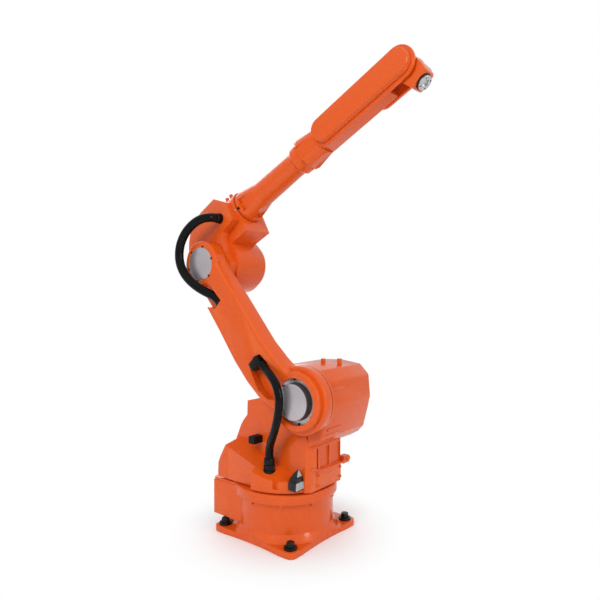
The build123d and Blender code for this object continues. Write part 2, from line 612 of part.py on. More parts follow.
# Elbow housing: cheek at the lower arm, motor drum behind it and the round body of the roll axis
CHEEK_INNER_Y = SHOULDER_FACE_Y + CHEEK_THICKNESS
with BuildPart() as elbow_housing:
    with BuildSketch(fore_plane(CHEEK_INNER_Y)):
        with BuildLine():
            Polyline((ELBOW_FRONT - 15, 178), (135, 231), (40, 226))
            ThreePointArc((40, 226), (-70, 170), (-112, 60))
            ThreePointArc((-112, 60), (-20, -106), (98, -43))
            ThreePointArc((98, -43), (93, 40), (120, 85))
            Polyline((120, 85), (ELBOW_FRONT - 15, 98), (ELBOW_FRONT - 15, 178))
        make_face()
    extrude(amount=CHEEK_THICKNESS)
    with BuildSketch(fore_plane(ELBOW_DRUM_FAR_Y)):
        Circle(ELBOW_DRUM_RADIUS)
    extrude(amount=ELBOW_DRUM_FAR_Y - CHEEK_INNER_Y)
    with BuildSketch(fore_plane(ELBOW_BODY_FAR_Y)):
        Polygon((-60, 60), (-50, 150), (-8, 190), (60, 198), (100, FOREARM_OFFSET), (ELBOW_FRONT, FOREARM_OFFSET),
                (ELBOW_FRONT, 41), (90, 41), align=None)
    extrude(amount=ELBOW_BODY_FAR_Y - CHEEK_INNER_Y)
    with BuildSketch(fore_section(ROLL_HOUSING_START)):
        Circle(ROLL_HOUSING_RADIUS)
    extrude(amount=ELBOW_FRONT - ROLL_HOUSING_START)
    with BuildSketch(fore_plane(SHOULDER_FACE_Y)):
        Circle(ELBOW_SPIGOT_RADIUS)
    extrude(amount=RUNNING_GAP + SPIGOT_DEPTH)
    with BuildSketch(fore_section(ELBOW_FRONT)):
        Circle(ROLL_SPIGOT_RADIUS + BEARING_CLEARANCE)
    extrude(amount=-SPIGOT_DEPTH - HOLE_CLEARANCE, mode=Mode.SUBTRACT)
finish(elbow_housing, "elbow_housing")

with BuildPart() as elbow_motor_cover:
    with BuildSketch(fore_plane(ELBOW_DRUM_FAR_Y)):
        Circle(ELBOW_DRUM_RADIUS - ELBOW_COVER_MARGIN)
    extrude(amount=-ELBOW_COVER_DEPTH, taper=ELBOW_COVER_DRAFT)
finish(elbow_motor_cover, "elbow_motor_cover")

with BuildPart() as elbow_gland:
    with BuildSketch(fore_plane(SHOULDER_FACE_Y)):
        with Locations((130, 140)):
            Circle(ELBOW_GLAND_RADIUS)
    extrude(amount=ELBOW_GLAND_HEIGHT)
finish(elbow_gland, "elbow_gland")

plug_seat = fore_plane(-20).from_local_coords(Vector(150, FOREARM_OFFSET + ROLL_HOUSING_RADIUS - PLUG_HEIGHT, 0))
with BuildPart() as elbow_plugs:
    with BuildSketch(Plane(origin=plug_seat, x_dir=(0, 1, 0), z_dir=fore_plane(0).y_dir)):
        with Locations((0, 12), (0, -14)):
            Circle(PLUG_RADIUS)
    extrude(amount=2 * PLUG_HEIGHT)
    add(elbow_housing.part, mode=Mode.SUBTRACT)
finish(elbow_plugs, "elbow_plugs")

# Forearm: flared root with pockets, slim tube and a collar with pockets, turned as one profile
ROOT = ELBOW_FRONT + ROLL_GAP
WRIST_BODY_START = FOREARM_LENGTH - WRIST_RIM_LENGTH - WRIST_RIM_RADIUS - WRIST_RIM_GAP
COLLAR_START = WRIST_BODY_START - COLLAR_LENGTH
COLLAR_PEAK = COLLAR_START + COLLAR_RISE
COLLAR_END = WRIST_BODY_START + COLLAR_LAP
forearm_profile = [(ROOT, 0), (ROOT, FLARE_RADIUS), (ROOT + ROOT_FLANGE, FLARE_RADIUS),
                   (FLARE_END, TUBE_ROOT_RADIUS), (COLLAR_START - COLLAR_NECK, TUBE_TIP_RADIUS),
                   (COLLAR_START, COLLAR_RADIUS - 5),
                   (COLLAR_PEAK, COLLAR_RADIUS), (COLLAR_END, COLLAR_END_RADIUS), (COLLAR_END, 0)]
with BuildPart() as forearm_tube:
    with BuildSketch(fore_plane(0)):
        with Locations((0, FOREARM_OFFSET)):
            Polygon(*forearm_profile, align=None)
    revolve(axis=Axis(fore_section(0).origin, fore_section(0).z_dir))
    with BuildSketch(fore_section(ROOT + ROOT_FLANGE)):
        with PolarLocations(ROOT_POCKET_FLOOR, ROOT_POCKETS):
            Rectangle(FLARE_RADIUS, ROOT_POCKET_WIDTH, align=(Align.MIN, Align.CENTER))
    extrude(amount=ROOT_POCKET_LENGTH, mode=Mode.SUBTRACT)
    with BuildSketch(fore_section(COLLAR_PEAK)):
        with PolarLocations(COLLAR_POCKET_FLOOR, COLLAR_POCKETS):
            Rectangle(COLLAR_RADIUS, COLLAR_POCKET_WIDTH, align=(Align.MIN, Align.CENTER))
    extrude(amount=COLLAR_POCKET_LENGTH, mode=Mode.SUBTRACT)
    with BuildSketch(fore_plane(-WRIST_SLOT_HALF)):
        with Locations((WRIST_BODY_START, FOREARM_OFFSET)):
            Rectangle(2 * COLLAR_LAP, 2 * COLLAR_RADIUS, align=(Align.MIN, Align.CENTER))
    extrude(amount=COLLAR_RADIUS, mode=Mode.SUBTRACT)
    with BuildSketch(fore_section(ROOT)):
        Circle(ROLL_SPIGOT_RADIUS)
    extrude(amount=-ROLL_GAP - SPIGOT_DEPTH)
finish(forearm_tube, "forearm_tube")

# Wrist fork: body, near rim with its raised cover, and far cheek
WRIST_SLOT_START = FOREARM_LENGTH - WRIST_SLOT_DEPTH
with BuildPart() as wrist_housing:
    with BuildSketch(fore_section(COLLAR_END)) as wrist_section:
        with Locations(((WRIST_BODY_HALF - WRIST_SLOT_HALF) / 2, 0)):
            Rectangle(WRIST_BODY_HALF + WRIST_SLOT_HALF, 2 * WRIST_BODY_HEIGHT)
        fillet(wrist_section.vertices().sort_by(Axis.X)[-2:], WRIST_BODY_ROUND)
    extrude(amount=WRIST_SLOT_START - COLLAR_END)
finish(wrist_housing, "wrist_housing")

rim_middle = FOREARM_LENGTH - WRIST_RIM_LENGTH / 2
with BuildPart() as wrist_rim:
    with BuildSketch(fore_plane(-WRIST_SLOT_HALF)):
        with Locations((rim_middle, FOREARM_OFFSET)):
            SlotCenterToCenter(WRIST_RIM_LENGTH, 2 * WRIST_RIM_RADIUS)
    extrude(amount=-WRIST_RIM_FACE_Y - WRIST_SLOT_HALF)
    with BuildSketch(fore_plane(-WRIST_SLOT_HALF)):
        with Locations((FOREARM_LENGTH, FOREARM_OFFSET)):
            Circle(PIVOT_RADIUS + BEARING_CLEARANCE)
    extrude(amount=PIVOT_DEPTH + HOLE_CLEARANCE, mode=Mode.SUBTRACT)
finish(wrist_rim, "wrist_rim")

with BuildPart() as wrist_cover:
    with BuildSketch(fore_plane(WRIST_RIM_FACE_Y)):
        with Locations((rim_middle, FOREARM_OFFSET)):
            SlotCenterToCenter(WRIST_RIM_LENGTH, 2 * (WRIST_RIM_RADIUS - WRIST_RIM_BAND))
    with BuildSketch(fore_plane(WRIST_RIM_FACE_Y - WRIST_COVER_RAISE)):
        with Locations((rim_middle, FOREARM_OFFSET)):
            SlotCenterToCenter(WRIST_RIM_LENGTH, 2 * WRIST_COVER_RADIUS)
    loft()
finish(wrist_cover, "wrist_cover")

with BuildPart() as wrist_far_cheek:
    with BuildSketch(fore_plane(WRIST_BODY_HALF + FAR_CHEEK_PROUD)):
        with Locations((FOREARM_LENGTH - FAR_CHEEK_LENGTH / 2, FOREARM_OFFSET)):
            SlotCenterToCenter(FAR_CHEEK_LENGTH, 2 * WRIST_BODY_HEIGHT)
    extrude(amount=WRIST_BODY_HALF + FAR_CHEEK_PROUD - WRIST_SLOT_HALF)
    add(wrist_housing.part, mode=Mode.SUBTRACT)
    with BuildSketch(fore_plane(WRIST_SLOT_HALF)):
        with Locations((FOREARM_LENGTH, FOREARM_OFFSET)):
            Circle(PIVOT_RADIUS + BEARING_CLEARANCE)
    extrude(amount=-PIVOT_DEPTH - HOLE_CLEARANCE, mode=Mode.SUBTRACT)
finish(wrist_far_cheek, "wrist_far_cheek")

TOOL_FACE = TOOL_REACH - TOOL_FLANGE_THICKNESS - TOOL_GAP
with BuildPart() as tilt_housing:
    with BuildSketch(tilt_plane(TILT_HALF)) as tilt_sketch:
        Polygon((0, TILT_RADIUS), (TILT_WAIST, TILT_WAIST_UP), (TOOL_FACE, TILT_END), (TOOL_FACE, -TILT_END),
                (TILT_WAIST, -TILT_WAIST_DOWN), (0, -TILT_RADIUS), align=None)
        fillet(tilt_sketch.vertices().sort_by(Axis.X)[-2:], TILT_ROUND)
        Circle(TILT_RADIUS)
    extrude(amount=2 * TILT_HALF)
    with BuildSketch(tilt_plane(-TILT_HALF)):
        Circle(PIVOT_RADIUS)
    extrude(amount=WRIST_SLOT_HALF - TILT_HALF + PIVOT_DEPTH)
    with BuildSketch(tilt_plane(TILT_HALF)):
        Circle(PIVOT_RADIUS)
    extrude(amount=-(WRIST_SLOT_HALF - TILT_HALF) - PIVOT_DEPTH)
    with BuildSketch(tilt_section(TOOL_FACE)):
        Circle(TOOL_BORE_RADIUS + TOOL_SHAFT_WALL + BEARING_CLEARANCE)
    extrude(amount=-SPIGOT_DEPTH, mode=Mode.SUBTRACT)
finish(tilt_housing, "tilt_housing")

with BuildPart() as tool_flange:
    with BuildSketch(tilt_section(TOOL_FACE + TOOL_GAP)):
        Circle(TOOL_FLANGE_RADIUS)
    extrude(amount=TOOL_FLANGE_THICKNESS)
    with BuildSketch(tilt_section(TOOL_FACE + TOOL_GAP)):
        Circle(TOOL_BORE_RADIUS + TOOL_SHAFT_WALL)
    extrude(amount=-TOOL_GAP - SPIGOT_DEPTH + 2 * HOLE_CLEARANCE)
    with BuildSketch(tilt_section(TOOL_REACH)):
        Circle(TOOL_BORE_RADIUS)
    extrude(amount=-TOOL_BORE_DEPTH, mode=Mode.SUBTRACT)
    with BuildSketch(tilt_section(TOOL_REACH)):
        with PolarLocations(TOOL_PITCH_CIRCLE / 2, 4, start_angle=45):
            Circle(TOOL_HOLE_RADIUS)
    extrude(amount=-TOOL_FLANGE_THICKNESS, mode=Mode.SUBTRACT)
finish(tool_flange, "tool_flange")


# Hoses: straight runs joined by tangent arcs
def hose_radii(points):
    radii = []
    for before, here, after in zip(points, points[1:], points[2:]):
        run_in = Vector(*here) - Vector(*before)
        run_out = Vector(*after) - Vector(*here)
        turn = run_in.get_angle(run_out)
        radii.append(0.45 * min(run_in.length, run_out.length) / tan(radians(turn / 2)))
    return radii


def report_hose(name, path, radii, solid, diameter):
    ideal = path.length * pi * (diameter / 2) ** 2
    print(name, "length", round(path.length, 1), "radii", [round(r) for r in radii],
          "volume share", round(solid.volume / ideal, 4))


lower_hose_points = [(26.4, -166, 659.6), (48, -166, 638), (90, -183, 622), (128, -195, 592), (145, -199, 547),
                     (138, -197, 500), (116, -185, 450), (82, -166, 400), (53, -147, 362), (42, -140, 332),
                     (42, -140, 311)]
with BuildPart() as lower_hose:
    with BuildLine() as lower_hose_path:
        lower_radii = hose_radii(lower_hose_points)
        FilletPolyline(*lower_hose_points, radius=lower_radii)
    with BuildSketch(Plane(origin=lower_hose_path.wires()[0] @ 0, z_dir=lower_hose_path.wires()[0] % 0)):
        Circle(LOWER_HOSE_DIAMETER / 2)
    sweep()
finish(lower_hose, "lower_hose")
report_hose("lower_hose", lower_hose_path.wires()[0], lower_radii, lower_hose.part, LOWER_HOSE_DIAMETER)

upper_hose_points = [(-268, -124, 1216), (-268, -154, 1216), (-296, -178, 1208), (-338, -185, 1188),
                     (-378, -188, 1156), (-404, -190, 1116), (-414, -190, 1072), (-406, -190, 1030),
                     (-382, -189, 992), (-350, -187, 964), (-316, -180, 940), (-284, -161, 918),
                     (-244.2, -141, 898.8), (-220.9, -141, 875.5)]
with BuildPart() as upper_hose:
    with BuildLine() as upper_hose_path:
        upper_radii = hose_radii(upper_hose_points)
        FilletPolyline(*upper_hose_points, radius=upper_radii)
    with BuildSketch(Plane(origin=upper_hose_path.wires()[0] @ 0, z_dir=upper_hose_path.wires()[0] % 0)):
        Circle(UPPER_HOSE_DIAMETER / 2)
    sweep()
finish(upper_hose, "upper_hose")
report_hose("upper_hose", upper_hose_path.wires()[0], upper_radii, upper_hose.part, UPPER_HOSE_DIAMETER)
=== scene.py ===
"""Looks of the industrial robot arm: glossy orange castings, satin caps, black hoses and small fasteners."""

import json
from math import cos, pi, radians, sin

import bmesh
import bpy
from mathutils import Matrix, Vector


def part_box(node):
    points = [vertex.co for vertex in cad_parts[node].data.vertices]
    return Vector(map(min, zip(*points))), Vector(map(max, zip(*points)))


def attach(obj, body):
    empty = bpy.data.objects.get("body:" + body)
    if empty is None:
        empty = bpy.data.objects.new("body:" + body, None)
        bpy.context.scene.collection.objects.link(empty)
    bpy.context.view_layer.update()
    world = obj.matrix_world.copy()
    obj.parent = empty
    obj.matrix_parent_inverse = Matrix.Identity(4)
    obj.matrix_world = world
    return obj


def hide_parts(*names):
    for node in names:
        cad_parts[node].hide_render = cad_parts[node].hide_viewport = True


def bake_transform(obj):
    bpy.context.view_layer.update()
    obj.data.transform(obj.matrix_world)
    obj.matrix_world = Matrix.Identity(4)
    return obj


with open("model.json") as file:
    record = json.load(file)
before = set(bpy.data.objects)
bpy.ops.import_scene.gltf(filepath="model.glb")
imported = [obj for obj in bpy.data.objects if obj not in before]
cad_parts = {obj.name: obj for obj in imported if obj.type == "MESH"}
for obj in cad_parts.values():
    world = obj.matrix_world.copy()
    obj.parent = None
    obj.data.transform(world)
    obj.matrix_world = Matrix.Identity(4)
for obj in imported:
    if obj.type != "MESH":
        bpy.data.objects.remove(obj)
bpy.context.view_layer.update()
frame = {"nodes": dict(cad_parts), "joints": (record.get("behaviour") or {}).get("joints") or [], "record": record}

# Camera of the photograph
CAMERA_PLACE = (1.4001, -1.6107, 0.9167)
CAMERA_TURN = 39.5
CAMERA_PITCH = -0.8
CAMERA_LENS = 32.91
CAMERA_REACH = 50.0
SENSOR_WIDTH = 36.0

# Finishes, as linear colours
ORANGE = (0.700, 0.090, 0.006)
CAP_GREY = (0.50, 0.46, 0.48)
# White of the pointed stop's face plate, a painted reflection
PAINTED_REFLECTION_WHITE = (0.80, 0.80, 0.81)
BLACK = (0.004, 0.004, 0.0045)
STEEL = (0.60, 0.60, 0.61)
# Dark grey of the plates, also used for the painted shade round the shoulder dome's side
PLATE_AND_SHADE_GREY = (0.05, 0.05, 0.052)

# Sprayed paint: its gloss, the noise scales of its wear, gloss and orange peel, and its lighter edges, which are
# partly wear and partly a painted highlight
PAINT_ROUGHNESS = 0.24
PAINT_ROUGHNESS_RANGE = (PAINT_ROUGHNESS - 0.05, PAINT_ROUGHNESS + 0.08)
PAINT_COAT = 0.25
PAINT_COAT_ROUGHNESS = 0.08
PAINT_LEVEL = 0.25
PAINT_WEAR_AND_HIGHLIGHT_SCALE = 25
PAINT_GLOSS_SCALE = 14
PAINT_PEEL_SCALE = 420
PAINT_PEEL_DEPTH = 0.0001
PAINT_PEEL_STRENGTH = 0.15
# Lighter tint of the convex edges: partly wear, partly a painted highlight along the cast edges
EDGE_WEAR_AND_HIGHLIGHT_POINTINESS = (0.52, 0.62)
EDGE_WEAR_AND_HIGHLIGHT_SHARE = (0.2, 0.9)
EDGE_WEAR_AND_HIGHLIGHT_TINT = (1.12, 1.5, 3.0)

# Plain finishes: the noise scale and spread of their uneven gloss, and how strongly the grain shows
PLAIN_GLOSS_SCALE = 30
PLAIN_GLOSS_SPREAD = (0.8, 1.25)
PLAIN_GRAIN_STRENGTH = 0.4

# Range that noise mostly stays in, the whole range of a share, and the colour sockets of a mix node
NOISE_RANGE = (0.3, 0.7)
FULL_RANGE = (0.0, 1.0)
MIX_COLOR_A = 6
MIX_COLOR_B = 7
MIX_COLOR_RESULT = 2

# Floor and surroundings: distances over which the floor turns white, and the light from below to above
FLOOR_HALF_SIZE = 6.0
FLOOR_GREY = (0.9, 0.9, 0.9, 1)
FLOOR_SEEN_FADE = (0.18, 0.48)
FLOOR_MIRRORED_FADE = (3.0, 6.0)
SKY_COLOR = (0.97, 0.98, 1.0, 1)
SKY_HEIGHTS = (-0.25, 0.5)
SKY_STRENGTHS = (0.25, 0.70)

# Hoses: points listed from one end to the other
LOWER_HOSE_DIAMETER = 0.030
LOWER_HOSE_POINTS = [
    (0.0264, -0.166, 0.6596), (0.048, -0.166, 0.638), (0.090, -0.183, 0.622), (0.128, -0.195, 0.592),
    (0.145, -0.199, 0.547), (0.138, -0.197, 0.500), (0.116, -0.185, 0.450), (0.082, -0.166, 0.400),
    (0.053, -0.147, 0.362), (0.042, -0.140, 0.332), (0.042, -0.140, 0.311)]
UPPER_HOSE_DIAMETER = 0.036
UPPER_HOSE_POINTS = [
    (-0.268, -0.124, 1.216), (-0.268, -0.154, 1.216), (-0.296, -0.178, 1.208), (-0.338, -0.185, 1.188),
    (-0.378, -0.188, 1.156), (-0.404, -0.190, 1.116), (-0.414, -0.190, 1.072), (-0.406, -0.190, 1.030),
    (-0.382, -0.189, 0.992), (-0.350, -0.187, 0.964), (-0.316, -0.180, 0.940), (-0.284, -0.161, 0.918),
    (-0.2442, -0.141, 0.8988), (-0.2209, -0.141, 0.8755)]
HOSE_SIDES = 7
HOSE_STEPS = 12

# Rounded edges of the cast and moulded nodes
CAST_EDGES = {
    "base_casting": 0.003, "connector_box": 0.002, "waist_casting": 0.005, "turn_motor_cover": 0.006,
    "front_cover": 0.002, "motor_housing": 0.003, "motor_cap": 0.006, "lower_arm": 0.003,
    "elbow_housing": 0.005, "wrist_housing": 0.004, "wrist_rim": 0.002,
    "wrist_cover": 0.003, "wrist_far_cheek": 0.003, "tilt_housing": 0.003, "rear_stop": 0.002,
    "arm_hose_fitting": 0.004, "arm_hose_socket": 0.003, "lifting_studs": 0.002, "elbow_plugs": 0.001,
    "dome_stop": 0.002, "foot_washers": 0.001, "shoulder_flange": 0.001, "connector_plate": 0.0015,
    "elbow_motor_cover": 0.003, "tool_flange": 0.0008,
}
CAST_EDGE_SEGMENTS = 3
CAST_EDGE_ANGLE = 28.0
FLAT_ANGLE = 0.3
SAME_SPOT = 1e-6


def add_camera():
    data = bpy.data.cameras.new("camera")
    data.sensor_fit = "HORIZONTAL"
    data.sensor_width = SENSOR_WIDTH
    data.lens = CAMERA_LENS
    data.clip_end = CAMERA_REACH
    camera = bpy.data.objects.new("camera", data)
    camera.location = CAMERA_PLACE
    camera.rotation_euler = (radians(90 + CAMERA_PITCH), 0, radians(CAMERA_TURN))
    bpy.context.scene.collection.objects.link(camera)
    bpy.context.scene.camera = camera


class Nodes:
    """The node tree of a material or a world, with short calls to add and link nodes."""

    def __init__(self, owner, output="ShaderNodeOutputMaterial"):
        self.owner = owner
        owner.use_nodes = True
        self.tree = owner.node_tree
        self.tree.nodes.clear()
        self.output = self.add(output)

    def add(self, kind, inputs=None, **settings):
        node = self.tree.nodes.new(kind)
        for key, value in settings.items():
            setattr(node, key, value)
        for key, value in (inputs or {}).items():
            node.inputs[key].default_value = value
        return node

    def link(self, source, target):
        self.tree.links.new(source, target)


def add_shader(nodes, color, roughness, metallic=0.0, coat=0.0, coat_roughness=0.1, level=0.5):
    principled = nodes.add("ShaderNodeBsdfPrincipled", {
        "Base Color": (*color, 1), "Roughness": roughness, "Metallic": metallic,
        "Specular IOR Level": level, "Coat Weight": coat, "Coat Roughness": coat_roughness})
    nodes.link(principled.outputs[0], nodes.output.inputs[0])
    return principled


def noise(nodes, scale, detail):
    coordinates = nodes.add("ShaderNodeTexCoord")
    texture = nodes.add("ShaderNodeTexNoise", {"Scale": scale, "Detail": detail})
    nodes.link(coordinates.outputs["Object"], texture.inputs["Vector"])
    return texture.outputs["Fac"]


def remap(nodes, value, source, target, kind="LINEAR"):
    """A value carried from one range to another, and held at its ends."""
    node = nodes.add("ShaderNodeMapRange", {
        "From Min": source[0], "From Max": source[1], "To Min": target[0], "To Max": target[1]},
        interpolation_type=kind)
    nodes.link(value, node.inputs["Value"])
    return node.outputs[0]


def combine(nodes, operation, first, second):
    node = nodes.add("ShaderNodeMath", operation=operation)
    nodes.link(first, node.inputs[0])
    nodes.link(second, node.inputs[1])
    return node.outputs[0]


def bump(nodes, height, distance, strength):
    node = nodes.add("ShaderNodeBump", {"Strength": strength, "Distance": distance})
    nodes.link(height, node.inputs["Height"])
    return node.outputs[0]


def mix_shaders(nodes, weight, first, second):
    mix = nodes.add("ShaderNodeMixShader")
    nodes.link(weight, mix.inputs[0])
    nodes.link(first.outputs[0], mix.inputs[1])
    nodes.link(second.outputs[0], mix.inputs[2])
    nodes.link(mix.outputs[0], nodes.output.inputs[0])


def paint_material(name, color):
    """Sprayed enamel over a casting: fine orange peel, uneven gloss and a slightly lighter edge, partly wear and
    partly a painted highlight.
    """
    nodes = Nodes(bpy.data.materials.new(name))
    principled = add_shader(nodes, color, PAINT_ROUGHNESS, coat=PAINT_COAT,
                            coat_roughness=PAINT_COAT_ROUGHNESS, level=PAINT_LEVEL)
    geometry = nodes.add("ShaderNodeNewGeometry")
    # Convex edges are tinted lighter in noisy patches: partly wear, partly a painted highlight along the cast
    # edges
    edge = remap(nodes, geometry.outputs["Pointiness"], EDGE_WEAR_AND_HIGHLIGHT_POINTINESS, FULL_RANGE)
    wear_and_highlight_share = remap(nodes, noise(nodes, PAINT_WEAR_AND_HIGHLIGHT_SCALE, detail=3), NOISE_RANGE, EDGE_WEAR_AND_HIGHLIGHT_SHARE)
    worn_and_highlit_color = [min(1, part * tint) for part, tint in zip(color, EDGE_WEAR_AND_HIGHLIGHT_TINT)]
    mix = nodes.add("ShaderNodeMix", data_type="RGBA")
    mix.inputs[MIX_COLOR_A].default_value = (*color, 1)
    mix.inputs[MIX_COLOR_B].default_value = (*worn_and_highlit_color, 1)
    nodes.link(combine(nodes, "MULTIPLY", edge, wear_and_highlight_share), mix.inputs[0])
    nodes.link(mix.outputs[MIX_COLOR_RESULT], principled.inputs["Base Color"])
    gloss = remap(nodes, noise(nodes, PAINT_GLOSS_SCALE, detail=4), NOISE_RANGE, PAINT_ROUGHNESS_RANGE)
    nodes.link(gloss, principled.inputs["Roughness"])
    peel = bump(nodes, noise(nodes, PAINT_PEEL_SCALE, detail=2), PAINT_PEEL_DEPTH, PAINT_PEEL_STRENGTH)
    nodes.link(peel, principled.inputs["Normal"])
    return nodes.owner


def plain_material(name, color, roughness, metallic=0.0, grain=300, depth=0.0002, level=0.5):
    """A fine grained surface with uneven gloss."""
    nodes = Nodes(bpy.data.materials.new(name))
    principled = add_shader(nodes, color, roughness, metallic, level=level)
    spread = [roughness * share for share in PLAIN_GLOSS_SPREAD]
    gloss = remap(nodes, noise(nodes, PLAIN_GLOSS_SCALE, detail=4), NOISE_RANGE, spread)
    nodes.link(gloss, principled.inputs["Roughness"])
    grains = bump(nodes, noise(nodes, grain, detail=2), depth, PLAIN_GRAIN_STRENGTH)
    nodes.link(grains, principled.inputs["Normal"])
    return nodes.owner


MATERIALS = {
    "paint": paint_material("orange_paint", ORANGE),
    "grey_cap": plain_material("cap_paint", CAP_GREY, 0.30, metallic=0.7, grain=90, depth=0.00002),
    "hose": plain_material("hose_rubber", BLACK, 0.14, grain=500, level=0.12),
    "rubber": plain_material("stop_rubber", BLACK, 0.5, level=0.2),
    "fitting": plain_material("fitting_plastic", BLACK, 0.25, level=0.2),
    "gloss_black": plain_material("gloss_black", BLACK, 0.08, level=0.4),
    "black_steel": plain_material("black_steel", BLACK, 0.32, level=0.3),
    "steel": plain_material("machined_steel", STEEL, 0.22, metallic=1.0),
    # Plate paint, also used for the painted shade round the shoulder dome's side
    "plate": plain_material("plate_and_shade_paint", PLATE_AND_SHADE_GREY, 0.4),
    # White material for the painted reflection on the pointed stop's front
    "painted_reflection": plain_material("painted_reflection_white", PAINTED_REFLECTION_WHITE, 0.3),
}
SLOT_OF = {row["node"]: row["material_slot"] for row in frame["record"]["subparts"]}
# The elbow's plugs are sprayed over with the casting
SLOT_OF["elbow_plugs"] = "paint"
BODIES = frame["record"]["behaviour"]["bodies"]
BODY_OF = {node: body for body, members in BODIES.items() for node in members}
JOINTS = {joint["name"]: joint for joint in frame["joints"]}

# Directions and joints that the small pieces are placed by
NEAR = Vector((0, -1, 0))
FAR = Vector((0, 1, 0))
FORWARD = Vector((1, 0, 0))
UP = Vector((0, 0, 1))
SHOULDER = Vector(JOINTS["shoulder_swing"]["pos_m"])
ELBOW = Vector(JOINTS["elbow_swing"]["pos_m"])
ARM_WAY = (ELBOW - SHOULDER).normalized()
ROLL = Vector(JOINTS["forearm_roll"]["pos_m"])
ROLL_WAY = Vector(JOINTS["forearm_roll"]["axis"])
TOOL = Vector(JOINTS["tool_turn"]["pos_m"])
TOOL_WAY = Vector(JOINTS["tool_turn"]["axis"])
CENTRE = [(0, 0)]


def plane(origin, way, facing):
    """Placing matrix of a plane: local x runs along way, and the plane faces facing."""
    x_axis = Vector(way).normalized()
    z_axis = Vector(facing).normalized()
    y_axis = z_axis.cross(x_axis)
    matrix = Matrix((x_axis, y_axis, z_axis)).transposed().to_4x4()
    matrix.translation = Vector(origin)
    return matrix


def side_plane(centre, level):
    """Plane that faces the near side at a level along Y, centred on a joint of the lower arm."""
    return plane((centre.x, level, centre.z), ARM_WAY, NEAR)


def set_material(piece, slot):
    piece.data.materials.clear()
    piece.data.materials.append(MATERIALS[slot])


def dress_nodes():
    for name, piece in frame["nodes"].items():
        set_material(piece, SLOT_OF[name])


def new_piece(name, work, body, slot, sharp=35.0):
    """A piece from a finished mesh, smooth apart from its sharp edges, riding on a body."""
    mesh = bpy.data.meshes.new(name)
    bmesh.ops.recalc_face_normals(work, faces=work.faces)
    work.to_mesh(mesh)
    work.free()
    mesh.shade_smooth()
    mesh.set_sharp_from_angle(angle=radians(sharp))
    piece = bpy.data.objects.new(name, mesh)
    bpy.context.scene.collection.objects.link(piece)
    set_material(piece, slot)
    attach(piece, body)
    return piece


def join_rings(work, rings):
    """Adds the faces between neighbouring rings of corners and closes both ends."""
    for lower, upper in zip(rings, rings[1:]):
        for step in range(len(lower)):
            after = (step + 1) % len(lower)
            work.faces.new((lower[step], lower[after], upper[after], upper[step]))
    work.faces.new(rings[0][::-1])
    work.faces.new(rings[-1])


def turned(work, place, rows, segments):
    """Adds a form turned about a plane's axis; a row is a radius, a height and whether it is a hexagon."""
    rings = []
    for radius, height, hexagon in rows:
        ring = []
        for step in range(segments):
            angle = 2 * pi * step / segments
            reach = radius / cos(angle % (pi / 3) - pi / 6) if hexagon else radius
            ring.append(work.verts.new(place @ Vector((reach * cos(angle), reach * sin(angle), height))))
        rings.append(ring)
    join_rings(work, rings)


def socket_screw(radius, height):
    """Rows of a cap screw with a broken edge and a hexagon socket."""
    return [(radius, 0, False), (radius, 0.85 * height, False), (0.88 * radius, height, False),
            (0.5 * radius, height, True), (0.5 * radius, 0.4 * height, True)]


def bolt_head(half_width, height):
    """Rows of a hexagon bolt head with its chamfered top."""
    return [(half_width, 0, True), (half_width, 0.82 * height, True), (0.92 * half_width, height, False)]


def washer(radius, height):
    edge = 0.2 * height
    return [(radius, 0, False), (radius, height - edge, False), (radius - edge, height, False)]


def circle_spots(radius, count, start):
    spots = []
    for step in range(count):
        angle = radians(start) + 2 * pi * step / count
        spots.append((radius * cos(angle), radius * sin(angle)))
    return spots


def repeated(name, body, slot, place, spots, rows, segments=24):
    """One piece with the same turned form at each spot of a plane."""
    work = bmesh.new()
    for across, up in spots:
        turned(work, place @ Matrix.Translation((across, up, 0)), rows, segments)
    return new_piece(name, work, body, slot)


def slab(work, place, outline, height, edge):
    """Adds a convex plate with a broken upper edge, standing on a plane."""
    middle = (sum(x for x, y in outline) / len(outline), sum(y for x, y in outline) / len(outline))
    reach = max(abs(x - middle[0]) for x, y in outline)
    rings = []
    for share, level in ((1.0, 0.0), (1.0, height - edge), (1.0 - edge / reach, height)):
        rings.append([work.verts.new(place @ Vector((middle[0] + (x - middle[0]) * share,
                                                     middle[1] + (y - middle[1]) * share, level)))
                      for x, y in outline])
    join_rings(work, rings)


def rounded_box(low, high, radius, steps=5):
    """Outline of a rectangle with rounded corners."""
    outline = []
    for x, y, start in ((high[0] - radius, high[1] - radius, 0), (low[0] + radius, high[1] - radius, 90),
                        (low[0] + radius, low[1] + radius, 180), (high[0] - radius, low[1] + radius, 270)):
        for step in range(steps + 1):
            angle = radians(start + 90 * step / steps)
            outline.append((x + radius * cos(angle), y + radius * sin(angle)))
    return outline


def soften(node, width):
    """A copy of a CAD solid with its cast edges rounded, which then stands for it."""
    mesh = frame["nodes"][node].data.copy()
    piece = bpy.data.objects.new(node + "_cast", mesh)
    bpy.context.scene.collection.objects.link(piece)
    work = bmesh.new()
    work.from_mesh(mesh)
    bmesh.ops.remove_doubles(work, verts=work.verts, dist=SAME_SPOT)
    bmesh.ops.dissolve_limit(work, angle_limit=radians(FLAT_ANGLE), verts=work.verts, edges=work.edges)
    for face in work.faces:
        face.smooth = True
    work.to_mesh(mesh)
    work.free()
    bevel = piece.modifiers.new("round", "BEVEL")
    bevel.width = width
    bevel.segments = CAST_EDGE_SEGMENTS
    bevel.limit_method = "ANGLE"
    bevel.angle_limit = radians(CAST_EDGE_ANGLE)
    bevel.use_clamp_overlap = True
    bevel.harden_normals = True
    set_material(piece, SLOT_OF[node])
    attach(piece, BODY_OF[node])
    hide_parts(node)


